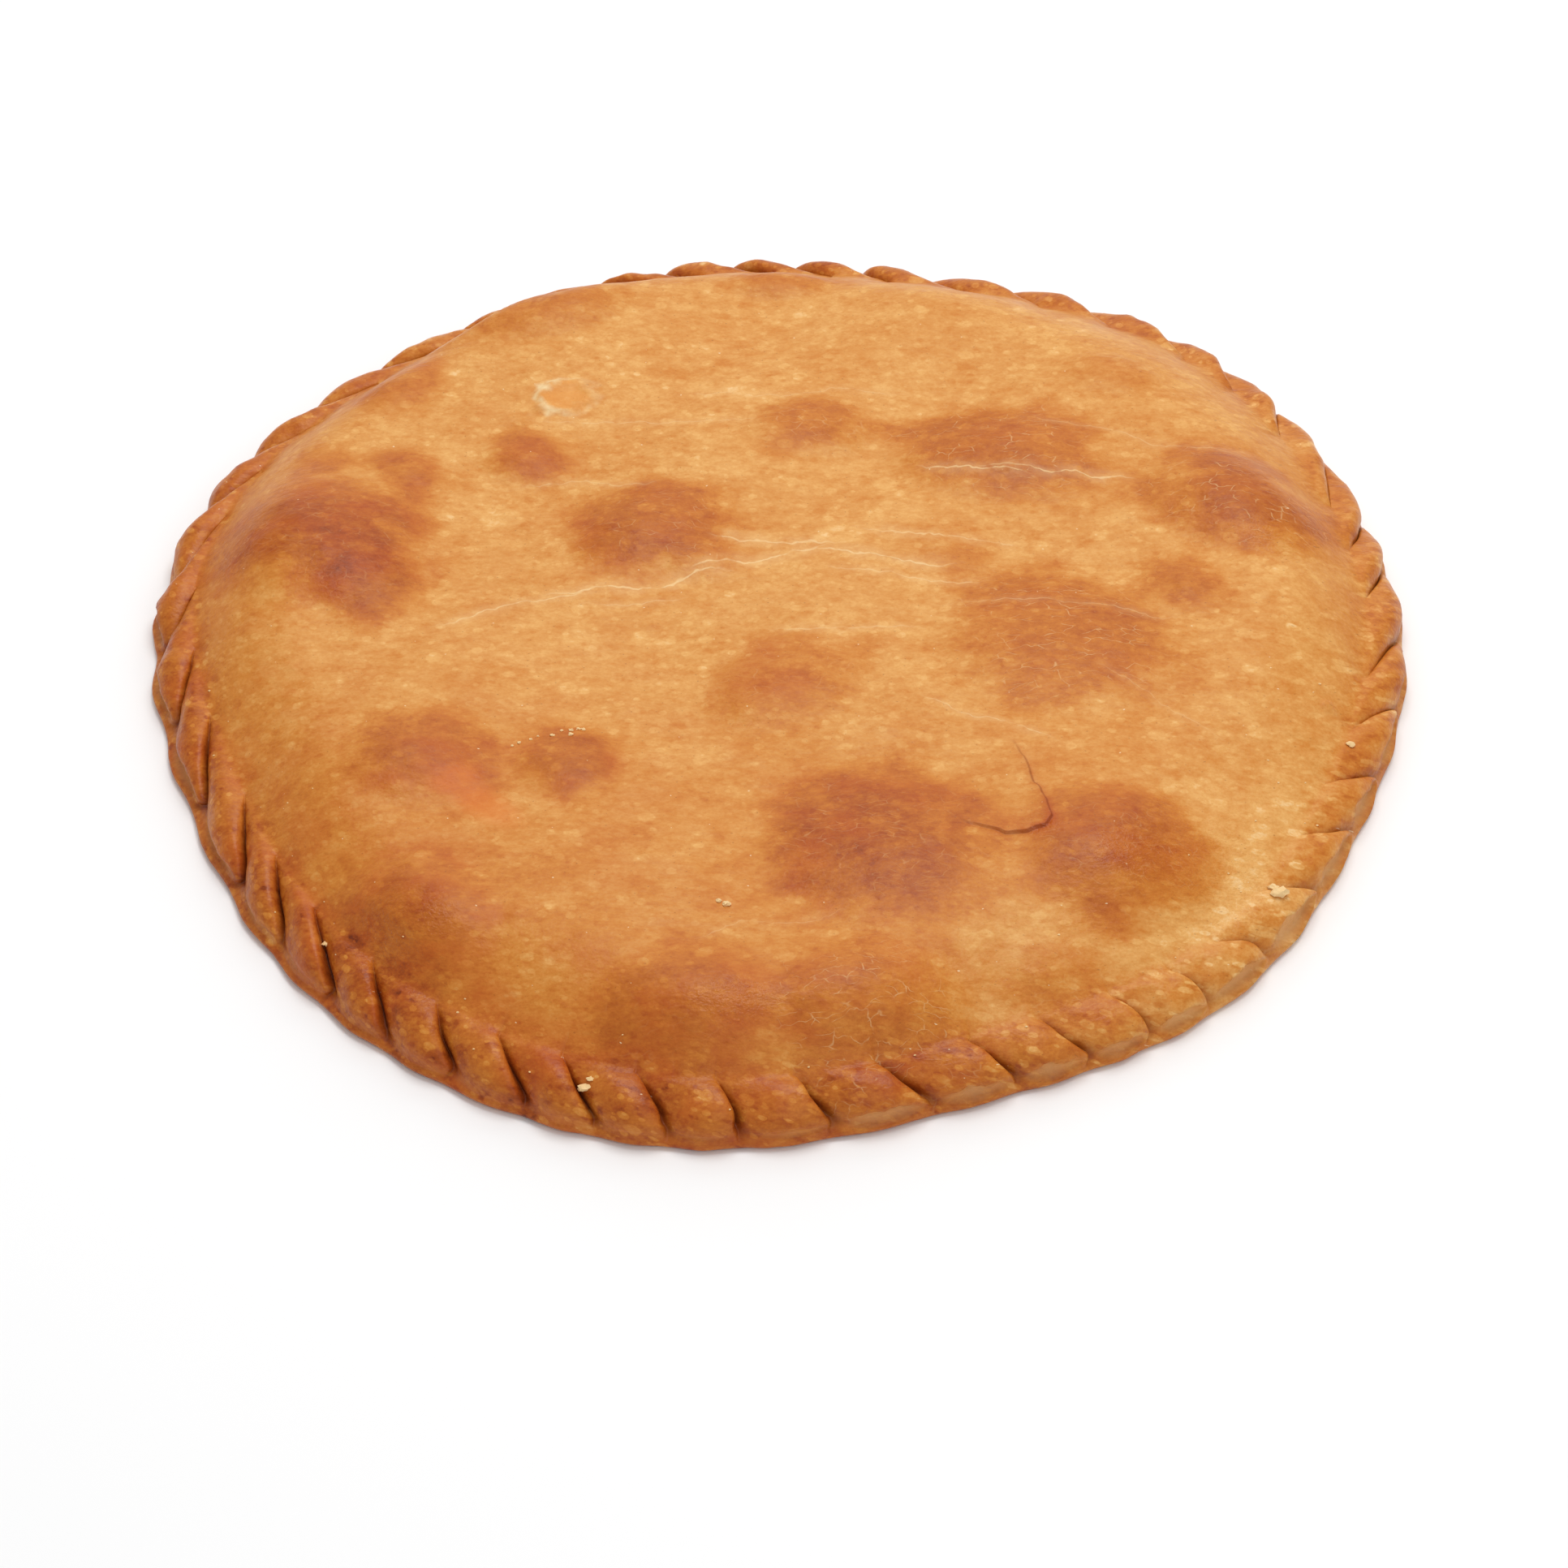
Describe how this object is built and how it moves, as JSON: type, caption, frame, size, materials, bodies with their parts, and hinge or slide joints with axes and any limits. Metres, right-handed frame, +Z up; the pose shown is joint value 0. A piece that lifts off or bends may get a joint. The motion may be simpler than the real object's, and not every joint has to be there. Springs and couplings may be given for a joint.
{
  "type": "tuna empanada",
  "caption": "Round closed savoury pie with a rope-crimped rim and a blistered, golden brown lid, baked whole and uncut.",
  "frame": {"origin": "on the surface that the pie rests on, under the middle of its bounding box", "axes": "+Z up out of the lid, -Y towards the side that faced the camera, +X to the right seen from there"},
  "size_m": [0.3028, 0.297, 0.0297],
  "materials": {
    "crust": "baked wheat dough, golden brown, with a soft egg-wash sheen"
  },
  "bodies": {
    "root": {"empanada": "crust"}
  },
  "joints": []
}
